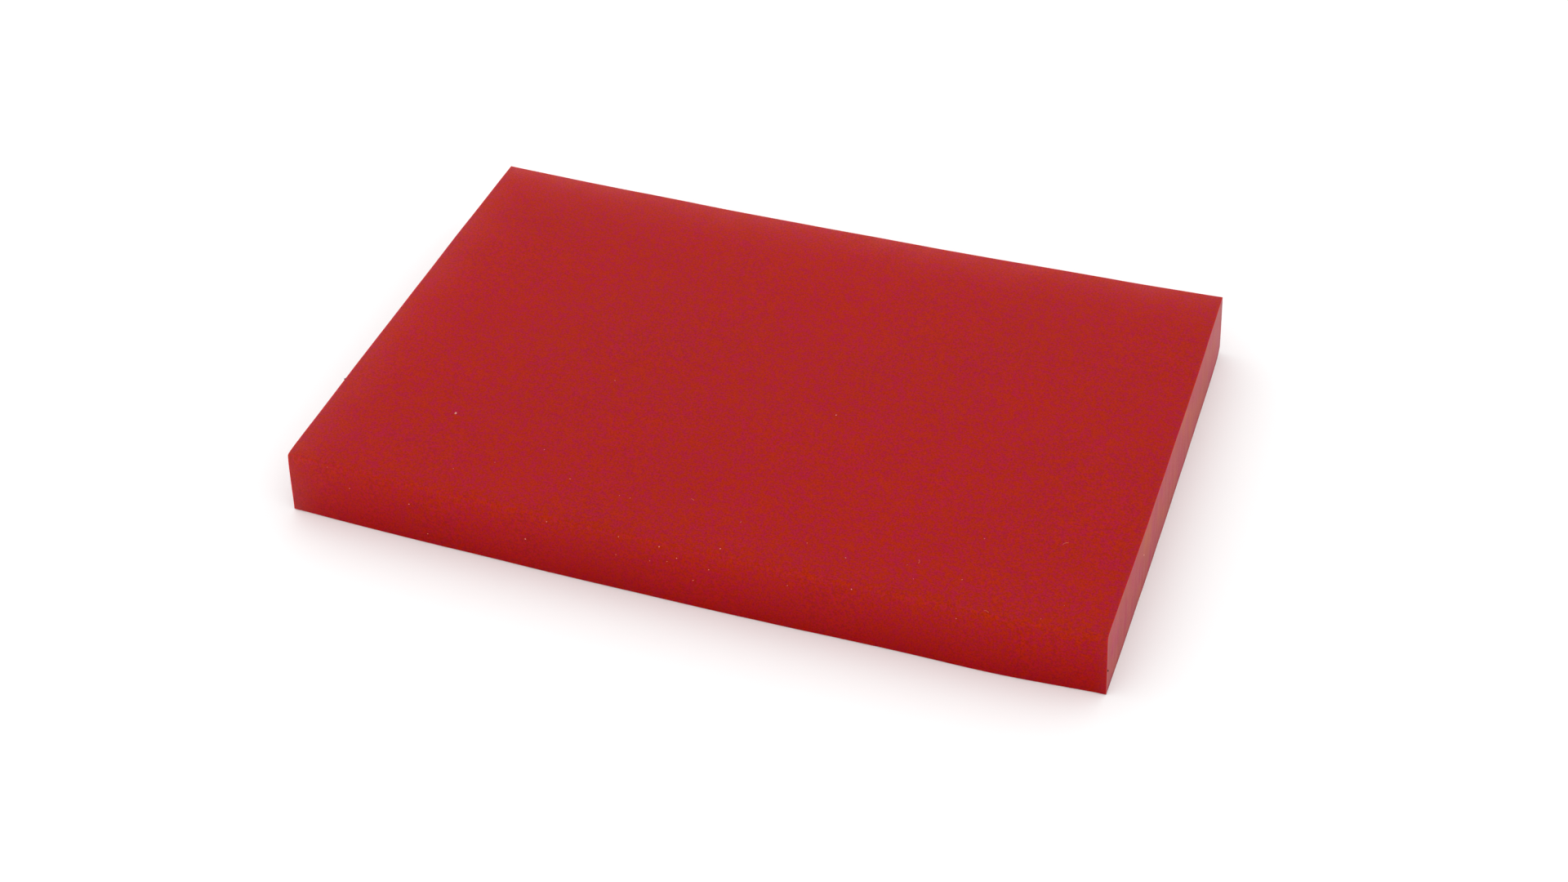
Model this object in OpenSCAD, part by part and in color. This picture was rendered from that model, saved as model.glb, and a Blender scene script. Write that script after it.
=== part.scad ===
// Detailing clay bar: one slab of plastic clay, squeezed out of a flat die and cut to length.
// Millimetres, +Z up. X runs the way the clay was squeezed, between the two cut ends.
// The origin is under the middle of the slab, on the surface that it rests on.

/* [Slab] */
// Length between the cut ends, at half thickness
bar_l = 100; // [80:1:130]
// Width across the die, between the two long sides
bar_w = 65.6; // [50:0.2:85]
// Thickness
bar_t = 8.8; // [6:0.2:14]

/* [Shape it has taken] */
// How far the middle of the slab has bent sideways, out of line with its ends
bow = 0.9; // [0.3:0.1:3]
// How far the foot of each cut end stands out past its top edge
cut_lean = 0.4; // [0.1:0.1:2]

/* [Edges] */
// Radius that the die leaves along the two upper edges and the lower front edge
die_edge_r = 0.4; // [0.2:0.1:1.5]
// Height at which the lower back edge rolls in under the slab
roll_h = 0.8; // [0.4:0.1:2]
// Distance under the slab that the rolled edge reaches
roll_d = 2.6; // [2:0.1:6]

/* [Hidden] */
$fn = 256;

// Overshoot of a cutting shape past what it cuts
over = 1;
// Arc whose chord is the slab's length and whose rise is the bow
bend_r = (bar_l * bar_l / 4 + bow * bow) / (2 * bow);
front_r = bend_r + bar_w / 2;
back_r = bend_r - bar_w / 2;
// Half lengths of the slab where it is longest and where it is shortest
foot_x = bar_l / 2 + cut_lean / 2;
head_x = bar_l / 2 - cut_lean / 2;
// Turn of the sweep, with some clay to spare past each cut
half_turn = asin((foot_x + over) / back_r);
// Place of the bend's centre that leaves the slab's box centred on the origin
bend_y = (front_r + sqrt(back_r * back_r - foot_x * foot_x)) / 2;
// Radius of the arc that is tangent to the underside and meets the back at roll_h
roll_r = (roll_d * roll_d + roll_h * roll_h) / (2 * roll_h);

// What a round of radius r takes off a square corner at the origin
module corner_waste(r) {
    difference() {
        translate([-over, -over])
            square(r + over);
        translate([r, r])
            circle(r);
    }
}

// The clay outside the rolled edge, from the back face at x = 0
module roll_waste() {
    difference() {
        translate([-over, -over])
            square([roll_d + over, roll_h + over]);
        translate([roll_d, roll_r])
            circle(roll_r);
    }
}

// Section that comes out of the die: back side at x = 0, front side at x = bar_w
module die_section() {
    difference() {
        square([bar_w, bar_t]);
        translate([0, bar_t])
            mirror([0, 1])
                corner_waste(die_edge_r);
        translate([bar_w, bar_t])
            rotate(180)
                corner_waste(die_edge_r);
        translate([bar_w, 0])
            mirror([1, 0])
                corner_waste(die_edge_r);
        roll_waste();
    }
}

// The section, swept along the bend
module bent_clay() {
    translate([0, bend_y, 0])
        rotate_extrude(angle = 2 * half_turn, start = 270 - half_turn)
            translate([back_r, 0])
                die_section();
}

// What stands between the two leaning cuts
module between_cuts() {
    rotate([90, 0, 0])
        linear_extrude(height = 2 * bar_w, center = true)
            polygon([[-foot_x, 0], [foot_x, 0], [head_x, bar_t], [-head_x, bar_t]]);
}

// The whole object is one lump of the same clay
module clay_bar() {
    color([0.67, 0.16, 0.15])
        intersection() {
            bent_clay();
            between_cuts();
        }
}

clay_bar();
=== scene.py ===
# %% [markdown]
# # A bar of detailing clay
#
# A clay bar is one slab of plastic clay: a soft binder kneaded with chalk, red pigment and a fine
# abrasive. A press squeezes it through a flat die, and a blade cuts the long ribbon into bars. That
# leaves two kinds of surface, and most of this lesson is about telling them apart:
#
# - the **skin** on the four long faces, smoothed by the die, satin and deep red;
# - the **cut face** on the two ends, dragged open by the blade, drier and paler.
#
# The CAD model already holds the size and the place of the slab. Here it is loaded as a fixed frame, and
# a detailed mesh is built in the same space to stand for it.

# %% Load the frame
import math
import random

import bmesh
import bpy
from mathutils import Matrix, Vector
from mathutils.kdtree import KDTree


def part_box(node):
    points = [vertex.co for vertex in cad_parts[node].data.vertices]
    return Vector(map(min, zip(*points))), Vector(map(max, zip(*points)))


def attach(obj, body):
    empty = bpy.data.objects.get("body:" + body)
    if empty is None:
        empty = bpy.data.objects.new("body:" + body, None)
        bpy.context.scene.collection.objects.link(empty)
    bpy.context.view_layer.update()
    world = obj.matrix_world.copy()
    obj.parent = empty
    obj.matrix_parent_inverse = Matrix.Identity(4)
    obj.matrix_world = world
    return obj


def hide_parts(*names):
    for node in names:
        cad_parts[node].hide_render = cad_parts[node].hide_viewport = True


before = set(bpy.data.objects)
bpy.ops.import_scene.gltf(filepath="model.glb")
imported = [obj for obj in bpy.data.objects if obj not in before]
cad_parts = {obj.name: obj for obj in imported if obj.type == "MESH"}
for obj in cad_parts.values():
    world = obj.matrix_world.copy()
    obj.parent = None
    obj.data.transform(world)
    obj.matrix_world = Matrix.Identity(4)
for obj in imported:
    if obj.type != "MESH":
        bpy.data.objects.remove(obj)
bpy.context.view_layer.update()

MM = 0.001

# %% [markdown]
# ## Sizes
#
# Everything is worked out from the CAD slab and a few small departures from a true block. Soft clay never
# stays true: this bar has bent a little sideways, so seen from above its long sides are shallow arcs, and
# the blade pushed the foot of each end out past its top edge. The box round the slab holds both, so the
# length and the width of the clay itself are a little less than the box's.

# %% Sizes of the slab
slab_low, slab_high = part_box("clay_bar")
bow = 0.92 * MM
lean = 0.4 * MM
thickness = slab_high.z - slab_low.z
length = slab_high.x - slab_low.x - lean
width = slab_high.y - slab_low.y - bow
top_z = slab_low.z + thickness
middle_y = (slab_low.y + slab_high.y - bow) / 2
end_y = middle_y + bow
front_y, back_y = middle_y - width / 2, middle_y + width / 2
print("slab in mm:", [round(side / MM, 2) for side in (length, width, thickness)])

# %% [markdown]
# ## Working by selection
#
# Modelling by hand is mostly choosing what to work on. In a script the choice is a rule, such as "the
# edges that run lengthwise". Everything is deselected first, because an operator acts on all that is
# selected, and a new primitive is selected all over.

# %% Helpers for choosing what to work on
def deselect():
    """Leaves no object selected."""
    bpy.ops.object.select_all(action="DESELECT")


def select_only(piece):
    """Makes the piece the only selected object, and the active one."""
    deselect()
    piece.select_set(True)
    bpy.context.view_layer.objects.active = piece


def work_on(piece):
    """Opens the piece in edit mode, with nothing else selected."""
    select_only(piece)
    bpy.ops.object.mode_set(mode="EDIT")


def leave():
    """Goes back to object mode."""
    bpy.ops.object.mode_set(mode="OBJECT")


def choose(piece, kind, rule):
    """Selects just the vertices, edges or faces that the rule is true for, and says how many."""
    bpy.ops.mesh.select_mode(type=kind)
    bpy.ops.mesh.select_all(action="DESELECT")
    mesh = bmesh.from_edit_mesh(piece.data)
    parts = {"VERT": mesh.verts, "EDGE": mesh.edges, "FACE": mesh.faces}[kind]
    found = [part for part in parts if rule(part)]
    for part in found:
        part.select_set(True)
    mesh.select_flush_mode()
    bmesh.update_edit_mesh(piece.data)
    return len(found)


# %% [markdown]
# ## The slab as a block of small faces
#
# The die gives the clay a plain rectangular section, so the bar starts as a block. A soft shape needs a
# mesh that can bend everywhere, so the block is then divided all over. A loop cut would do this by hand;
# with no window, the same comes from selecting all edges that run one way and subdividing them, once for
# each direction. The clay's fine marks run lengthwise on the skin and upright on the cuts, so the faces may
# be long in X, but they have to be narrow in Y and Z.

# %% Rough slab
deselect()
bpy.ops.mesh.primitive_cube_add(
    size=1, location=(0, middle_y, slab_low.z + thickness / 2), scale=(length, width, thickness))
slab = bpy.context.object
slab.name = slab.data.name = "clay_slab"
bpy.ops.object.transform_apply(location=True, rotation=True, scale=True)
print("faces in the plain block:", len(slab.data.polygons))

# %% Divide it all over
spacing = (0.8 * MM, 0.33 * MM, 0.33 * MM)
nearly_all = 0.99


def runs_along(axis):
    """A rule for edges that run along X, Y or Z, given as 0, 1 or 2."""
    def rule(edge):
        run = edge.verts[1].co - edge.verts[0].co
        return abs(run[axis]) > nearly_all * run.length
    return rule


work_on(slab)
for axis, side in enumerate((length, width, thickness)):
    choose(slab, "EDGE", runs_along(axis))
    bpy.ops.mesh.subdivide(number_cuts=round(side / spacing[axis]) - 1)
leave()
print("faces in the divided block:", len(slab.data.polygons))

# %% [markdown]
# ## Two materials on one mesh
#
# The skin and the cut face are the same clay, so they stay one mesh with two material slots. The slots are
# filled now, while the ends can still be told by a plain rule: their faces point along X.

# %% Empty materials, and which faces they belong to
def new_material(name):
    """A material that has just the shader that new materials start with."""
    material = bpy.data.materials.new(name)
    material.use_nodes = True
    return material


skin = new_material("clay_skin")
cut_face = new_material("clay_cut_face")
slab.data.materials.append(skin)
slab.data.materials.append(cut_face)
SKIN, CUT = 0, 1

work_on(slab)
print("faces on the two cuts:", choose(slab, "FACE", lambda f: abs(f.normal.x) > nearly_all))
slab.active_material_index = CUT
bpy.ops.object.material_slot_assign()
leave()

# %% [markdown]
# ## The rolled edge and the worn edge
#
# The lower back edge has slumped: it rolls in under the slab. That is one move with proportional editing:
# the edge is lifted, and what lies near it follows less and less. The *sharp* falloff follows a parabola,
# which meets the flat underside without a crease.
#
# The upper front edge has been handled most, and hardly shows as a line. A small push back and down in the
# same way turns both faces slowly towards each other before they meet.

# %% Roll the back edge in and wear the front edge down
CLOSE = 0.001 * MM
roll_height = 0.8 * MM
roll_reach = 2.6 * MM
worn_push = 0.12 * MM
worn_reach = 2.0 * MM


def at(y, z):
    """A rule for the vertices of one lengthwise line."""
    return lambda v: abs(v.co.y - y) < CLOSE and abs(v.co.z - z) < CLOSE


def push(step, reach, falloff="SHARP"):
    """Moves what is selected by a step, and what lies within reach of it less and less."""
    bpy.ops.transform.translate(
        value=step, use_proportional_edit=True, proportional_edit_falloff=falloff, proportional_size=reach)


work_on(slab)
print("vertices lifted:", choose(slab, "VERT", at(back_y, slab_low.z)))
push((0, 0, roll_height), roll_reach)
print("vertices pushed:", choose(slab, "VERT", at(front_y, top_z)))
push((0, worn_push, -worn_push), worn_reach)
leave()

# %% [markdown]
# ## Edges that the die leaves
#
# All four lengthwise edges get a bevel, because a die can't leave a knife edge. The edge that has been
# handled is the roundest. A bevel has to be narrower than the row of faces beside it, or it folds over.

# %% Round the four lengthwise edges
edge_rounds = (
    (front_y + worn_push, top_z - worn_push, 0.24 * MM),
    (back_y, top_z, 0.2 * MM),
    (front_y, slab_low.z, 0.15 * MM),
    (back_y, slab_low.z + roll_height, 0.1 * MM))

work_on(slab)
for y, z, size in edge_rounds:
    count = choose(slab, "EDGE", lambda e: at(y, z)(e.verts[0]) and at(y, z)(e.verts[1]))
    bpy.ops.mesh.bevel(offset=size, segments=5, profile=0.5, affect="EDGES")
    print("edge pieces rounded:", count)
leave()

# %% [markdown]
# ## The bend
#
# Both ends are pushed the same way, and the middle stays. With the sharp falloff reaching half the
# length, the long sides become even arcs.

# %% Bend the slab sideways
def at_end(side):
    """A rule for the vertices of one end: side is 1 for the right end and -1 for the left."""
    return lambda v: abs(v.co.x - side * length / 2) < CLOSE


work_on(slab)
print("vertices on the two ends:", choose(slab, "VERT", lambda v: at_end(1)(v) or at_end(-1)(v)))
push((0, bow, 0), length / 2)
leave()

# %% [markdown]
# The front side isn't an even arc all the way: near its right end it swells forwards a little more, over
# two or three centimetres. One more push does it, from just the front side and with the smooth falloff.

# %% Swell the front side near the right end
swell = 0.28 * MM
swell_x = 38 * MM
swell_reach = 14 * MM
side_depth = 0.3 * MM


def bend_at(x):
    """How far the bend has moved the clay backwards at that distance along the slab."""
    return bow * (2 * x / length) ** 2


def on_front_side(vertex):
    return vertex.co.y < front_y + bend_at(vertex.co.x) + side_depth


def at_swell(vertex):
    return on_front_side(vertex) and abs(vertex.co.x - swell_x) < spacing[0] / 2


work_on(slab)
print("vertices at the middle of the swell:", choose(slab, "VERT", at_swell))
push((0, -swell, 0), swell_reach, falloff="SMOOTH")
leave()

# %% [markdown]
# ## The two cuts
#
# Each end is turned about its own middle, so that its foot stands out and its top edge stands back, and
# a hair in plan too, because no cut is quite square. Then its middle is eased outwards: the falloff
# called *inverse square* gives the shallow crown that clay keeps after the blade has squeezed it.
#
# The rim of a cut is crisp: a bevel of less than a tenth of a millimetre. Its new faces belong to the skin,
# which the blade has drawn over the edge.

# %% Lean, turn, crown and rim of the cut ends
RIGHT, LEFT = 1, -1
crown = {RIGHT: 0.2 * MM, LEFT: 0.1 * MM}
turn_in_plan = {RIGHT: 0.49 * MM, LEFT: 0.13 * MM}
rim_round = 0.04 * MM
last_row = length / 2 - spacing[0] / 2


def turn_chosen(side, axis, shift, span):
    """Turns the chosen end about its middle, so that points a span apart on it move apart by shift."""
    bpy.ops.transform.rotate(
        value=math.atan2(shift, span), orient_axis=axis, orient_type="GLOBAL",
        center_override=(side * length / 2, end_y, slab_low.z + thickness / 2))


work_on(slab)
for side in (RIGHT, LEFT):
    choose(slab, "VERT", at_end(side))
    turn_chosen(side, "Y", side * lean, thickness)
    turn_chosen(side, "Z", -side * turn_in_plan[side], width)
    choose(slab, "VERT", lambda v: side * v.co.x > last_row and abs(v.co.y - end_y) < spacing[1])
    push((side * crown[side], 0, 0), width / 2, falloff="INVERSE_SQUARE")
rims = choose(slab, "EDGE", lambda e: len({f.material_index for f in e.link_faces}) == 2)
bpy.ops.mesh.bevel(offset=rim_round, segments=2, profile=0.5, affect="EDGES", material=SKIN)
leave()
print("rim pieces rounded:", rims)

# %% [markdown]
# ## Where marks can be pressed
#
# The skin and the cuts get different marks, so each is kept as a vertex group. The skin's group stops short
# of the ends, so that no mark on it can dent the rim of a cut.

# %% Vertex groups for the cuts and the skin
def remember(name, rule):
    """Keeps the vertices that the rule is true for as a vertex group, and says how many."""
    work_on(slab)
    count = choose(slab, "VERT", rule)
    bpy.ops.object.vertex_group_assign_new()
    slab.vertex_groups[-1].name = name
    leave()
    return count


def on_cut(vertex):
    return all(face.material_index == CUT for face in vertex.link_faces)


def on_skin(vertex):
    return not on_cut(vertex) and abs(vertex.co.x) < last_row


print("vertices on the cuts:", remember("cuts", on_cut))
print("vertices on the skin:", remember("skin", on_skin))

# %% [markdown]
# ## Marks in the clay
#
# Three kinds of shallow relief are made in the mesh by Displace modifiers:
#
# 1. *waves*, a centimetre or two across, from handling: these go out as far as in;
# 2. *die lines* pressed into the skin, where grit has caught in the die;
# 3. *drag lines*, coarse and fine, down the cuts, where the blade has pulled grit through the clay.
#
# The lines are ordinary cloud noise seen through a stretched ruler. An empty object is the ruler: scaled
# up along one axis, it draws the noise out along that axis. It is deleted when the relief is applied. The
# blade didn't go down quite upright, so the ruler for its marks is tilted too.

# %% A helper that presses relief into the slab
def press_in(name, depth, size, group="", stretch=(1, 1, 1), tilt=0.0, middle=1.0):
    """Moves the slab's surface by cloud noise, depth from lowest to highest, in blotches of about that size.

    With a middle of 1 the noise only goes inwards, and with 0.5 it goes as far out as in.
    """
    clouds = bpy.data.textures.new(name, "CLOUDS")
    clouds.noise_scale = size
    clouds.noise_depth = 2
    bpy.ops.object.empty_add()
    ruler = bpy.context.object
    ruler.scale = stretch
    ruler.rotation_euler.x = tilt
    select_only(slab)
    relief = slab.modifiers.new(name, "DISPLACE")
    relief.texture = clouds
    relief.texture_coords = "OBJECT"
    relief.texture_coords_object = ruler
    relief.strength = depth
    relief.mid_level = middle
    relief.vertex_group = group
    bpy.context.view_layer.update()
    bpy.ops.object.modifier_apply(modifier=name)
    bpy.data.objects.remove(ruler)
    bpy.data.textures.remove(clouds)
    print("pressed in:", name, "up to", round(depth / MM, 3), "mm")


# %% Waves, die lines and drag lines
blade_tilt = math.radians(7)

press_in("waves", depth=0.12 * MM, size=14 * MM, middle=0.5)
press_in("die_lines", depth=0.02 * MM, size=0.9 * MM, group="skin", stretch=(60, 1, 1))
press_in("drag_lines", depth=0.1 * MM, size=0.8 * MM, group="cuts", stretch=(1, 1, 14), tilt=blade_tilt)
press_in("fine_drag_lines", depth=0.04 * MM, size=0.35 * MM, group="cuts", stretch=(1, 1, 20),
         tilt=blade_tilt)
slab.vertex_groups.clear()

# %% [markdown]
# The waves reach below the floor too, so the slab is raised until only its lowest points touch. The faces
# are then shaded smooth, except where two of them meet at a real corner.

# %% Stand the slab on the floor and smooth its shading
slab_corner = math.radians(40)

work_on(slab)
choose(slab, "VERT", lambda v: True)
sunk = slab_low.z - min(vertex.co.z for vertex in bmesh.from_edit_mesh(slab.data).verts)
bpy.ops.transform.translate(value=(0, 0, sunk))
leave()
bpy.ops.object.shade_smooth_by_angle(angle=slab_corner)
print("raised to stand on the floor, in mm:", round(sunk / MM, 3))

# %% [markdown]
# ## Painted light and shade along the edges
#
# Three kinds of edge have a tint of their own, and each is painted light or shade:
#
# - along the back and the left edge of the top, a pale painted glow of the light from behind, shining
#   through and off the edge, that fades over a few millimetres;
# - along the upper front edge, a painted highlight that makes the red a touch warmer and lighter;
# - around the *rim* of each cut, painted shade, darker and cooler, over the bright line that light
#   scattered in the clay gives a sharp edge.
#
# All three could be painted by hand as vertex colours. Here each is a formula of the distance from its
# edge. The rim isn't straight after the bend and the cuts, so its distance is measured from the vertices
# that both materials share.

# %% Find the rim of each cut
corners = (set(), set())
for face in slab.data.polygons:
    corners[face.material_index].update(face.vertices)
shared = corners[SKIN] & corners[CUT]
rim = KDTree(len(shared))
for index in shared:
    rim.insert(slab.data.vertices[index].co, index)
rim.balance()
print("vertices on the rims:", len(shared))

# %% How strongly each edge is tinted at a place
glow_reach = 2.6 * MM
highlight_reach = 0.7 * MM
rim_reach = 0.4 * MM
fade_along_back = 0.4
left_glow = 0.5


def back_light_glow_strength(place):
    """Painted back-light glow: 1 at the back left corner of the top, fading inwards, and rightwards along
    the back.
    """
    from_back = max(back_y + bend_at(place.x) - place.y, 0)
    from_left = max(place.x + length / 2, 0)
    along_back = 1 - fade_along_back * from_left / length
    return max(
        along_back * math.exp(-from_back / glow_reach),
        left_glow * math.exp(-from_left / glow_reach))


def front_highlight_strength(place):
    """Painted highlight: 1 on the upper front edge, fading to both sides of it."""
    return math.exp(-math.hypot(place.y - front_y - bend_at(place.x), place.z - top_z) / highlight_reach)


def rim_shade_strength(place):
    """Painted shade: 1 on the rim of a cut, fading to both sides of it."""
    nearest, index, distance = rim.find(place)
    return math.exp(-distance / rim_reach)


# %% [markdown]
# The strengths are stored on the mesh as attributes, one number for each vertex, and the materials read
# them by name.

# %% Store the strengths on the mesh
# The back-light glow and the front highlight are painted light; the rim strength is painted shade.
for name, strength in (("back_light_glow", back_light_glow_strength), ("front_edge_highlight", front_highlight_strength), ("rim", rim_shade_strength)):
    stored = slab.data.attributes.new(name, "FLOAT", "POINT")
    for vertex, entry in zip(slab.data.vertices, stored.data):
        entry.value = strength(vertex.co)
    print("mean", name, round(sum(entry.value for entry in stored.data) / len(stored.data), 3))

# %% [markdown]
# ## Building a material from nodes
#
# A material is a chain of nodes. By hand they are added and linked in the shader editor; in a script each
# step of the chain is a short function that takes sockets or plain values and returns a new socket, so
# that a finish can be read like a recipe. A socket knows which material's tree it belongs to, so most
# functions need only the sockets.

# %% Helpers that add a node and give it its values
def give(socket, value):
    """Links a socket to another one, or sets it to a plain value; a colour is given as three numbers."""
    if isinstance(value, bpy.types.NodeSocket):
        socket.id_data.links.new(value, socket)
    elif socket.type == "RGBA":
        socket.default_value = (*value, 1)
    else:
        socket.default_value = value


def put(tree, kind, inputs, **settings):
    """A new node, with its settings set and its inputs given."""
    node = tree.nodes.new(kind)
    for name, value in settings.items():
        setattr(node, name, value)
    for name, value in inputs.items():
        give(node.inputs[name], value)
    return node


def finish(material, **sockets):
    """Gives the shader's own sockets; an underscore in a name stands for a space."""
    shader = material.node_tree.nodes["Principled BSDF"]
    for name, value in sockets.items():
        give(shader.inputs[name.replace("_", " ")], value)
    print(material.name, "has", len(material.node_tree.nodes), "nodes")


# %% [markdown]
# Patterns are noise of a known size in metres. They read Object coordinates, which don't stretch where the
# mesh is bent. A ruler in front of the noise draws it out, as the empty did for the relief. Noise rarely
# reaches 0 or 1, so what comes out is remapped: the narrower the range that is kept, the harder the
# patches.

# %% Helpers for patterns
def object_place(material):
    """Object coordinates: a place on the bar, in metres from its origin."""
    return put(material.node_tree, "ShaderNodeTexCoord", {}).outputs["Object"]


def noise(material, size, stretch=(1, 1, 1), detail=3.0, turn=0.0):
    """Noise in blotches of about that size in metres, drawn out by stretch, from 0 to 1."""
    tree = material.node_tree
    ruler = put(tree, "ShaderNodeMapping", {
        "Vector": object_place(material), "Scale": [1 / part for part in stretch], "Rotation": (turn, 0, 0)})
    texture = put(tree, "ShaderNodeTexNoise", {
        "Vector": ruler.outputs["Vector"], "Scale": 1 / size, "Detail": detail})
    return texture.outputs["Fac"]


def attribute(material, name):
    """One of the strengths that are stored on the mesh."""
    return put(material.node_tree, "ShaderNodeAttribute", {}, attribute_name=name).outputs["Fac"]


def remap(value, kept, given):
    """Turns the range of a value that is kept into the range that is given."""
    return put(value.id_data, "ShaderNodeMapRange", {
        "Value": value, "From Min": kept[0], "From Max": kept[1],
        "To Min": given[0], "To Max": given[1]}).outputs["Result"]


# %% [markdown]
# Values are added, multiplied or raised to a power, and colours are blended or multiplied. A Mix node has
# a set of sockets for each kind of value; the ones for colours are numbered 6 and 7, and their result 2.

# %% Helpers for sums and colours
def calculate(operation, one, other):
    """A Math node of a socket and a second socket or a number."""
    return put(one.id_data, "ShaderNodeMath", {0: one, 1: other}, operation=operation).outputs[0]


def times(one, other):
    return calculate("MULTIPLY", one, other)


def plus(one, other):
    return calculate("ADD", one, other)


def blend(share, one, other):
    """Colour one where share is 0, colour other where it is 1."""
    return put(share.id_data, "ShaderNodeMix", {0: share, 6: one, 7: other}, data_type="RGBA").outputs[2]


def brightened(colour, factor):
    """The colour times a grey factor."""
    inputs = {0: colour, "Scale": factor}
    return put(factor.id_data, "ShaderNodeVectorMath", inputs, operation="SCALE").outputs[0]


def tinted(colour, tint):
    """The colour times a tint, channel by channel."""
    return put(colour.id_data, "ShaderNodeVectorMath", {0: colour, 1: tint}, operation="MULTIPLY").outputs[0]


# %% [markdown]
# Relief that is too fine for the mesh is a bump. Bumps are stacked: each one takes the normal of the one
# under it.

# %% A helper for fine relief
def bumps(height, depth, under=None):
    """A normal from height, which is 0 to 1 and stands for depth in metres, on top of another."""
    node = put(height.id_data, "ShaderNodeBump", {"Height": height, "Distance": depth, "Strength": 1.0})
    if under is not None:
        give(node.inputs["Normal"], under)
    return node.outputs["Normal"]


# %% [markdown]
# ## How clay takes light
#
# Plastic clay isn't opaque at its surface. Light goes in, and red light travels a little over half a
# millimetre before it comes out again, while green and blue are swallowed almost at once. That softens
# every edge and fine shadow. Subsurface scattering does this: the radius is how far each colour travels,
# and the scale is the distance that a radius of 1 stands for.

# %% Values that both clay materials share
clay_depth = 0.6 * MM
clay_travel = (1.0, 0.25, 0.22)
print("red light travels in mm:", round(clay_depth * clay_travel[0] / MM, 2))

# %% [markdown]
# ## The skin
#
# The die leaves the skin smooth and satin. Up close its red isn't even: pigment and chalk are mottled in
# patches of about half a millimetre, warmer and cooler. Towards the foot the red is darker and deeper:
# this is painted shade, for the shadow close to the floor. One flat colour would look like painted
# plastic, so the mottle comes first and every later tint is laid over it.

# %% Skin: mottle and painted shade at the foot
warm_red = (0.333, 0.0116, 0.0002)
cool_red = (0.322, 0.0054, 0.0232)
# Painted shade towards the foot: the red is multiplied by this tint, up to this share.
foot_shade_tint = (0.765, 0.16, 0.19)
foot_shade_share = 0.9


def painted_foot_shade(material):
    """Painted shade: 0 at the top of the slab, rising to the full share of shade at its foot."""
    place = put(material.node_tree, "ShaderNodeSeparateXYZ", {"Vector": object_place(material)})
    return remap(place.outputs["Z"], (slab_low.z, top_z), (foot_shade_share, 0.0))


mottle = remap(noise(skin, 0.43 * MM), (0.445, 0.585), (0.0, 1.0))
red = blend(mottle, warm_red, cool_red)
red = blend(painted_foot_shade(skin), red, tinted(red, foot_shade_tint))
print("nodes for mottle and moisture:", len(skin.node_tree.nodes))

# %% [markdown]
# The painted light along the edges is laid over the mottle: a warmer highlight on the front edge, and the
# pale glow of the back light along the back and left edges. The glow is uneven close to the edge, so a
# broad noise makes it patchy there. Its square root reaches further in, and brightens the red by up to a
# seventh.

# %% Skin: painted highlight on the front edge and painted glow of the back light
# Painted highlight along the upper front edge, warmer and lighter than the mottle.
highlight_red = (0.335, 0.032, 0.001)
highlight_share = 0.22
# Painted glow of the back light along the back and left edges.
glow_red = (0.40, 0.075, 0.07)
glow_share = (0.3, 0.5)
glow_lift = 1.14

red = blend(times(attribute(skin, "front_edge_highlight"), highlight_share), red, highlight_red)
glow_here = attribute(skin, "back_light_glow")
patchy = remap(noise(skin, 5 * MM), (0.3, 0.7), glow_share)
red = blend(times(glow_here, patchy), red, glow_red)
wide_glow = calculate("POWER", glow_here, 0.5)
red = brightened(red, remap(wide_glow, (0.0, 1.0), (1.0, glow_lift)))
print("nodes with the highlighted edge and the bloom:", len(skin.node_tree.nodes))

# %% [markdown]
# A fine grain of abrasive lies in the skin, and over the whole bar the red drifts by two parts in a
# hundred. Both only make the red darker or brighter. The painted shade round the rim of the cuts comes
# last.

# %% Skin: grain, drift and painted shade at the rim
grain_shade = (0.82, 1.18)
drift_shade = (0.98, 1.02)
# Painted shade round the rim of the cuts, darker and cooler.
rim_shade_red = (0.24, 0.020, 0.028)
rim_shade_share = 0.25

grain = noise(skin, 0.2 * MM, detail=2.0)
drift = noise(skin, 18 * MM, detail=2.0)
red = brightened(red, times(remap(grain, (0.35, 0.65), grain_shade), remap(drift, (0.3, 0.7), drift_shade)))
red = blend(times(attribute(skin, "rim"), rim_shade_share), red, rim_shade_red)
print("nodes with grain, drift and rim:", len(skin.node_tree.nodes))

# %% [markdown]
# The grain also gives the skin its tooth, so it drives the bump and the roughness too. Under it lie the
# faint unevenness of pressed clay and the finest lines of the die.

# %% Skin: relief and finish
skin_roughness = (0.42, 0.56)

die_lines = noise(skin, 0.3 * MM, stretch=(80, 1, 1), detail=2.0)
normal = bumps(die_lines, 0.004 * MM)
normal = bumps(noise(skin, 1.6 * MM), 0.03 * MM, under=normal)
normal = bumps(grain, 0.008 * MM, under=normal)
tooth = plus(times(grain, 0.5), times(drift, 0.5))
finish(
    skin, Base_Color=red, Normal=normal, Roughness=remap(tooth, (0.3, 0.7), skin_roughness),
    Specular_IOR_Level=0.045, Subsurface_Weight=1.0,
    Subsurface_Radius=clay_travel, Subsurface_Scale=clay_depth)

# %% [markdown]
# ## The cut face
#
# The blade tears the clay open. Chalk and abrasive lie bare, so the face is paler, drier and streaked the
# way the blade went. Its paleness is partly the chalk's own colour and partly painted sheen: sheen shows
# only at a glancing angle and would leave the face dark from the front, so most of it is painted into the
# colour.
#
# Streaks and broader patches decide how much chalk lies bare at a place. Two more noises, one small and
# one wide, decide how warm or cool that pale colour of chalk and painted sheen is.

# %% Cut face: bare clay, and chalk with painted sheen
bare_red = (0.29, 0.030, 0.029)
# Pale colours of chalk and painted sheen together.
warm_chalk_and_sheen = (0.36, 0.087, 0.037)
cool_chalk_and_sheen = (0.34, 0.036, 0.087)
streak_share, patch_share = 0.6, 0.4

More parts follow.
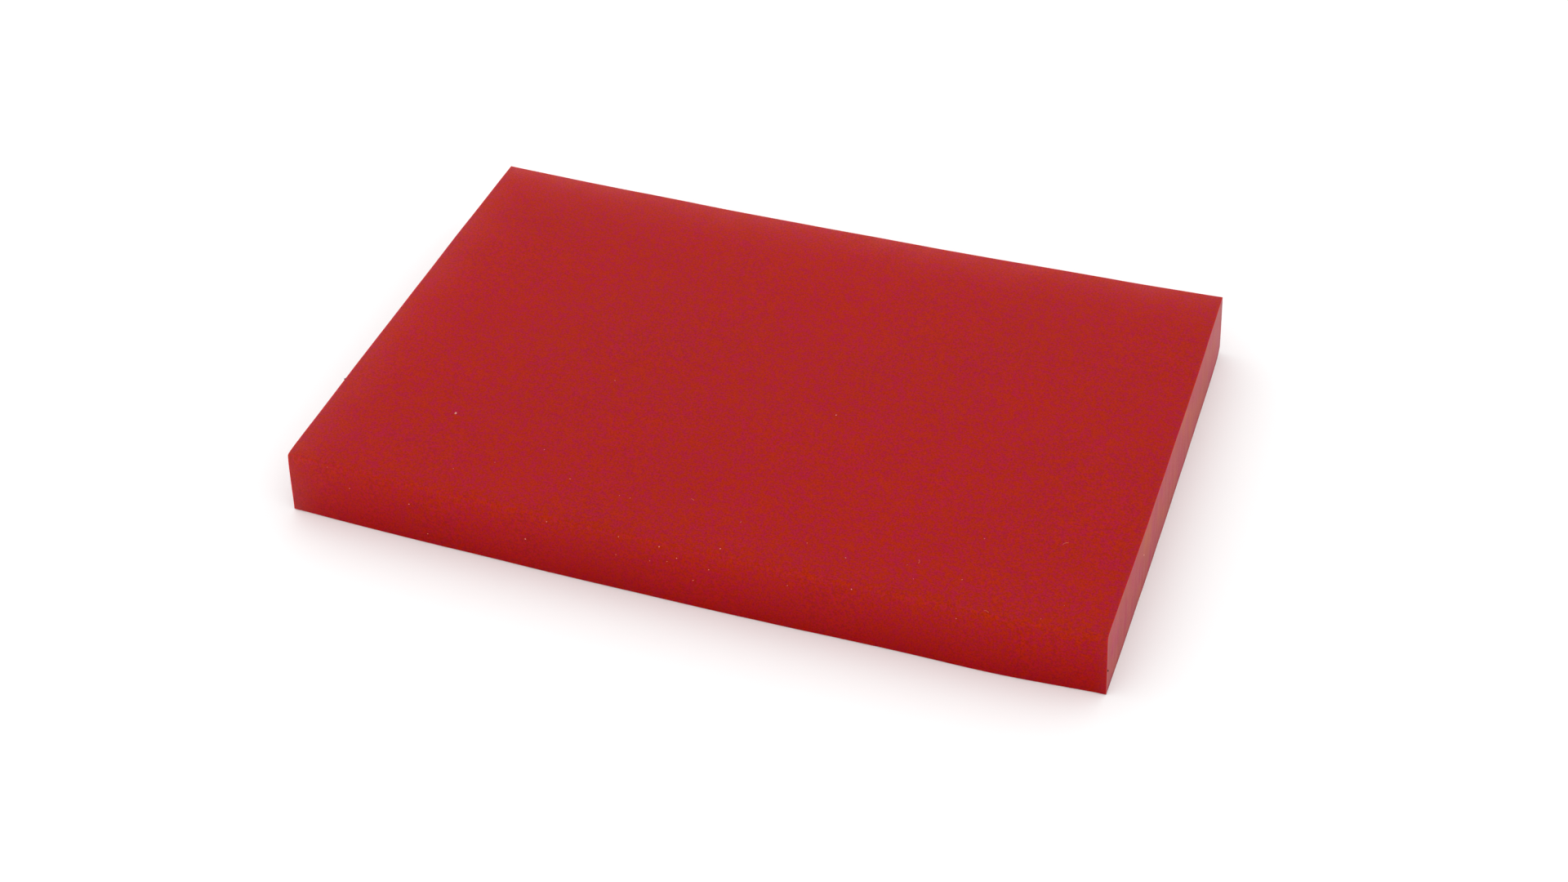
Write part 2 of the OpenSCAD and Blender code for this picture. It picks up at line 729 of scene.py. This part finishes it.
streaks = noise(cut_face, 0.9 * MM, stretch=(1, 1, 10), turn=-blade_tilt)
patches = noise(cut_face, 2.4 * MM, stretch=(1, 1, 2))
torn = plus(times(streaks, streak_share), times(patches, patch_share))
small_mottle = remap(noise(cut_face, 1.5 * MM, stretch=(1, 1, 2)), (0.42, 0.58), (0.0, 0.5))
wide_mottle = remap(noise(cut_face, 5 * MM), (0.4, 0.6), (0.0, 0.5))
chalk_and_sheen = blend(plus(small_mottle, wide_mottle), warm_chalk_and_sheen, cool_chalk_and_sheen)
red = blend(remap(torn, (0.38, 0.6), (0.0, 1.0)), bare_red, chalk_and_sheen)
print("nodes for bare clay and chalk:", len(cut_face.node_tree.nodes))

# %% [markdown]
# As on the skin, the foot is painted darker as shade, the back edge gets the painted glow of the back
# light, a grain shades the colour, and the rim gets painted shade. The glow reaches further in than on the
# skin, so the stored strength is raised to a power below one half.

# %% Cut face: painted shade at the foot, painted glow, grain and painted shade at the rim
# Painted shade towards the foot.
shaded_red = (0.262, 0.031, 0.034)
shaded_share = 0.5
# Painted glow of the back light, from the same stored strength as on the skin.
cut_glow_red = (0.38, 0.135, 0.15)
cut_glow_share = 0.25
torn_grain_shade = (0.9, 1.1)
# Painted shade round the rim of the cut, darker and cooler.
cut_rim_shade_red = (0.25, 0.042, 0.056)
cut_rim_shade_share = 0.6

red = blend(times(painted_foot_shade(cut_face), shaded_share), red, shaded_red)
cut_glow = calculate("POWER", attribute(cut_face, "back_light_glow"), 0.4)
red = blend(times(cut_glow, cut_glow_share), red, cut_glow_red)
torn_grain = noise(cut_face, 0.14 * MM, detail=2.0)
red = brightened(red, remap(torn_grain, (0.35, 0.65), torn_grain_shade))
red = blend(times(attribute(cut_face, "rim"), cut_rim_shade_share), red, cut_rim_shade_red)
print("nodes with foot, dust, grain and rim:", len(cut_face.node_tree.nodes))

# %% [markdown]
# The streaks and the grain are felt as well as seen, so they are also the bump. The face is rougher than
# the skin, and a touch of sheen gives it its dusty look along the surface.

# %% Cut face: relief and finish
cut_roughness = (0.5, 0.66)

normal = bumps(streaks, 0.05 * MM)
normal = bumps(torn_grain, 0.02 * MM, under=normal)
finish(
    cut_face, Base_Color=red, Normal=normal, Roughness=remap(torn, (0.35, 0.65), cut_roughness),
    Specular_IOR_Level=0.1, Sheen_Weight=0.02, Sheen_Roughness=0.5, Subsurface_Weight=1.0,
    Subsurface_Radius=clay_travel, Subsurface_Scale=clay_depth)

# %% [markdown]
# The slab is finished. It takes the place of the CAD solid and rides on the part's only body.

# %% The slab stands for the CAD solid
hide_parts("clay_bar")
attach(slab, "root")
print("the CAD solid is shown as", slab.name)

# %% [markdown]
# ## Grit
#
# The bar has begun its work: a few grains that it has lifted sit in the skin, most of them along the upper
# front edge, where it was rubbed. A grain is a small ball of triangles with every corner knocked about at
# random, squashed, turned, and pushed halfway into the clay. A particle system could strew them, but some
# have a place of their own, so each grain is modelled alone, and all are joined at the end.

# %% A helper that adds one grain
dice = random.Random(7)
squash_sideways = (0.6, 0.9)
squash_down = (0.5, 0.8)
sizes_to_a_knock = 9


def mm(x, y, z):
    """A place given in millimetres."""
    return Vector((x, y, z)) * MM


def add_grain(near, size):
    """Adds a grain of about that size, half sunk in the slab where its surface is nearest to a place."""
    found, place, normal, face = slab.closest_point_on_mesh(near)
    turn = [dice.uniform(0, math.tau) for axis in range(3)]
    deselect()
    bpy.ops.mesh.primitive_ico_sphere_add(subdivisions=2, radius=size / 2, location=place, rotation=turn)
    grain = bpy.context.object
    grain.scale = (1, dice.uniform(*squash_sideways), dice.uniform(*squash_down))
    work_on(grain)
    choose(grain, "VERT", lambda v: True)
    bpy.ops.transform.vertex_random(offset=size / sizes_to_a_knock, seed=dice.randrange(1000))
    leave()
    bpy.ops.object.transform_apply(location=True, rotation=True, scale=True)
    return grain


def join(pieces, name):
    """Joins pieces into one, with that name and its origin at the world's."""
    select_only(pieces[0])
    for piece in pieces[1:]:
        piece.select_set(True)
    bpy.ops.object.join()
    pieces[0].name = pieces[0].data.name = name
    return pieces[0]


# %% [markdown]
# The largest grains are placed one by one, in millimetres: on the top by their x and y, on the front by
# their x and z, and on the right cut by its y and z. A third number is the size. The rest are scattered from
# a fixed seed, thickest along the upper front edge. Each place given is just off the clay, and the grain
# moves to the nearest point on it.

# %% Pale grains
top_grains = (
    (-34, -19, 0.36), (10, -5, 0.17), (-16, -26, 0.13), (-21, -22, 0.12), (-8, -27, 0.11), (5, -32, 0.18),
    (19, -29, 0.13), (-18, -7, 0.11), (33, -21, 0.11))
front_grains = (
    (-34, 5.7, 0.11), (-16, 8.2, 0.13), (-32, 1.6, 0.11), (-19, 4.6, 0.13), (-2, 8.3, 0.14), (4, 6.4, 0.13),
    (2, 4.2, 0.11), (21, 8.2, 0.13), (-7, 8.4, 0.13))
cut_grains = ((-14, 5.2, 0.25),)
end_mm, front_mm, top_mm = length / 2 / MM, front_y / MM, top_z / MM
scattered = 18
scattered_part = 0.47
share_on_top = 0.55
spread_back, spread_down = 5 * MM, 3 * MM
smallest_mm, largest_mm = 0.07, 0.11

grains = [add_grain(mm(x, y, top_mm), size * MM) for x, y, size in top_grains]
grains += [add_grain(mm(x, front_mm - 1, z), size * MM) for x, z, size in front_grains]
grains += [add_grain(mm(end_mm + 1, y, z), size * MM) for y, z, size in cut_grains]
for count in range(scattered):
    x = dice.uniform(-scattered_part, scattered_part) * length
    if dice.random() < share_on_top:
        near = Vector((x, front_y + bow + abs(dice.gauss(0, spread_back)), top_z))
    else:
        near = Vector((x, front_y - MM, top_z - abs(dice.gauss(0, spread_down))))
    grains.append(add_grain(near, dice.uniform(smallest_mm, largest_mm) * MM))
print("pale grains:", len(grains))
grit = join(grains, "pale_grit")

# %% [markdown]
# Two grains are dark: one on the top edge of the left cut, and one near the foot of the right cut.

# %% Dark grains
dark_size = 0.32 * MM
dark_places = (mm(-end_mm - 0.5, -17, top_mm - 0.2), mm(end_mm + 1, -31.8, 3.4))
dark_grit = join([add_grain(place, dark_size) for place in dark_places], "dark_grit")
print("dark grains:", len(dark_places))

# %% [markdown]
# ## Lint
#
# Four short fibres from a cloth lie on the skin. A fibre could be a curve with a round section, but a thin
# six-sided rod is a closed mesh from the start. It is cut into short lengths, bowed by one proportional
# push at its middle, and laid down on the clay. Each is listed by its x, y and length in millimetres and
# its heading in degrees.

# %% Fibres
fibre_radius = 0.02 * MM
fibre_joints = 9
fibre_corner = math.radians(60)
fibres = (
    (27, -27, 0.6, 10), (-1, -25, 0.45, 60), (42, -19, 0.7, 130), (36.4, -32.5, 0.55, 75))


def add_fibre(x, y, run_mm, heading):
    """Adds a fibre at a place on the top, a sixth as deeply bowed as it is long."""
    run = run_mm * MM
    found, place, normal, face = slab.closest_point_on_mesh(mm(x, y, top_mm))
    deselect()
    bpy.ops.mesh.primitive_cylinder_add(vertices=6, radius=fibre_radius, depth=run)
    fibre = bpy.context.object
    work_on(fibre)
    choose(fibre, "EDGE", runs_along(2))
    bpy.ops.mesh.subdivide(number_cuts=fibre_joints)
    choose(fibre, "VERT", lambda v: abs(v.co.z) < CLOSE)
    push((run / 6, 0, 0), run / 2, falloff="INVERSE_SQUARE")
    leave()
    fibre.rotation_euler = (math.pi / 2, 0, math.radians(heading))
    fibre.location = place + normal * fibre_radius / 2
    bpy.ops.object.transform_apply(location=True, rotation=True, scale=True)
    bpy.ops.object.shade_smooth_by_angle(angle=fibre_corner)
    return fibre


lint = join([add_fibre(*fibre) for fibre in fibres], "lint")
print("faces in the lint:", len(lint.data.polygons))

# %% [markdown]
# Grit and lint have finishes of their own: dull mineral with a grain to it, and a cloth fibre that is
# warmer in some stretches than in others. Each wanders between two colours, and what changes the colour
# also roughens the surface.

# %% Grit and lint materials
roughness_swing = 0.15


def speckled(name, one, other, size, roughness):
    """A rough material that wanders between two colours, with bumps a tenth as deep as they are wide."""
    material = new_material(name)
    spots = noise(material, size, detail=2.0)
    finish(
        material, Base_Color=blend(remap(spots, (0.4, 0.6), (0.0, 1.0)), one, other),
        Normal=bumps(spots, size / 10),
        Roughness=remap(spots, (0.3, 0.7), (roughness - roughness_swing, roughness + roughness_swing)))
    return material


finishes = (
    (grit, speckled("pale_mineral", (0.5, 0.14, 0.1), (0.7, 0.36, 0.28), 0.08 * MM, 0.6)),
    (dark_grit, speckled("dark_mineral", (0.05, 0.01, 0.008), (0.14, 0.03, 0.02), 0.1 * MM, 0.7)),
    (lint, speckled("cloth_fibre", (0.46, 0.055, 0.022), (0.52, 0.12, 0.05), 0.15 * MM, 0.75)))
for piece, material in finishes:
    piece.data.materials.append(material)
    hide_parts("clay_bar")
    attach(piece, "root")
    print(piece.name, "is finished in", material.name)

# %% [markdown]
# ## Floor
#
# The bar is shown by itself on a plain pale floor. A single plane is enough, and matte, so that it takes a
# soft shadow and no reflection.

# %% Floor
floor_size = 4
deselect()
bpy.ops.mesh.primitive_plane_add(size=floor_size, location=(0, 0, 0))
floor = bpy.context.object
floor.name = "floor"
pale = new_material("pale_floor")
finish(pale, Base_Color=(0.92, 0.92, 0.92), Roughness=0.9, Specular_IOR_Level=0.1)
floor.data.materials.append(pale)
print("side of the floor in m:", floor_size)

# %% [markdown]
# ## Light
#
# Satin clay shows every hard lamp as a bright line along its edges. Nearly all the light here comes evenly
# from all round, as in a light tent, and one large weak lamp stands low in front to lift the front side.
# The view transform is the plain one, so that colours come out as they were mixed.

# %% Even light from all round
tent_strength = 1.19
world = bpy.data.worlds.new("studio")
world.use_nodes = True
bpy.context.scene.world = world
tent = world.node_tree.nodes["Background"]
give(tent.inputs["Color"], (1, 1, 1))
give(tent.inputs["Strength"], tent_strength)
print("strength of the even light:", tent_strength)

# %% A low soft lamp in front
lamp_place = Vector((-0.1, -0.9, 0.24))
lamp_side = 0.8
lamp_power = 1.6

light = bpy.data.lights.new("front_light", "AREA")
light.shape = "SQUARE"
light.size = lamp_side
light.energy = lamp_power
lamp = bpy.data.objects.new("front_light", light)
bpy.context.collection.objects.link(lamp)
lamp.location = lamp_place
lamp.rotation_euler = (-lamp_place).to_track_quat("-Z", "Y").to_euler()
bpy.context.scene.view_settings.view_transform = "Standard"
print("lamp stands off in m:", round(lamp_place.length, 2))

# %% [markdown]
# ## Camera
#
# The camera looks down over the bar's front right corner from about thirty centimetres away. Its place is
# worked out from two angles and a distance, as one sets up a tripod, and a slight roll and a small shift
# of the aim set the bar in the frame.

# %% Camera
azimuth, elevation, roll = (math.radians(angle) for angle in (19.7, 39.56, -1.04))
distance = 312.6 * MM
aim_right, aim_up = 1.26 * MM, -1.61 * MM
focal_mm, sensor_mm = 57.06, 36

toward_camera = Vector((
    math.sin(azimuth) * math.cos(elevation), -math.cos(azimuth) * math.cos(elevation), math.sin(elevation)))
level = Vector((0, 0, 1)).cross(toward_camera).normalized()
upright = toward_camera.cross(level)
right = math.cos(roll) * level + math.sin(roll) * upright
up = -math.sin(roll) * level + math.cos(roll) * upright
place = toward_camera * distance + right * aim_right + up * aim_up + Vector((0, bow / 2, 0))

lens = bpy.data.cameras.new("camera")
lens.lens = focal_mm
lens.sensor_width = sensor_mm
camera = bpy.data.objects.new("camera", lens)
bpy.context.collection.objects.link(camera)
turn = Matrix((right, up, toward_camera)).transposed()
camera.matrix_world = Matrix.Translation(place) @ turn.to_4x4()
bpy.context.scene.camera = camera
print("camera in mm:", [round(part / MM, 1) for part in place])
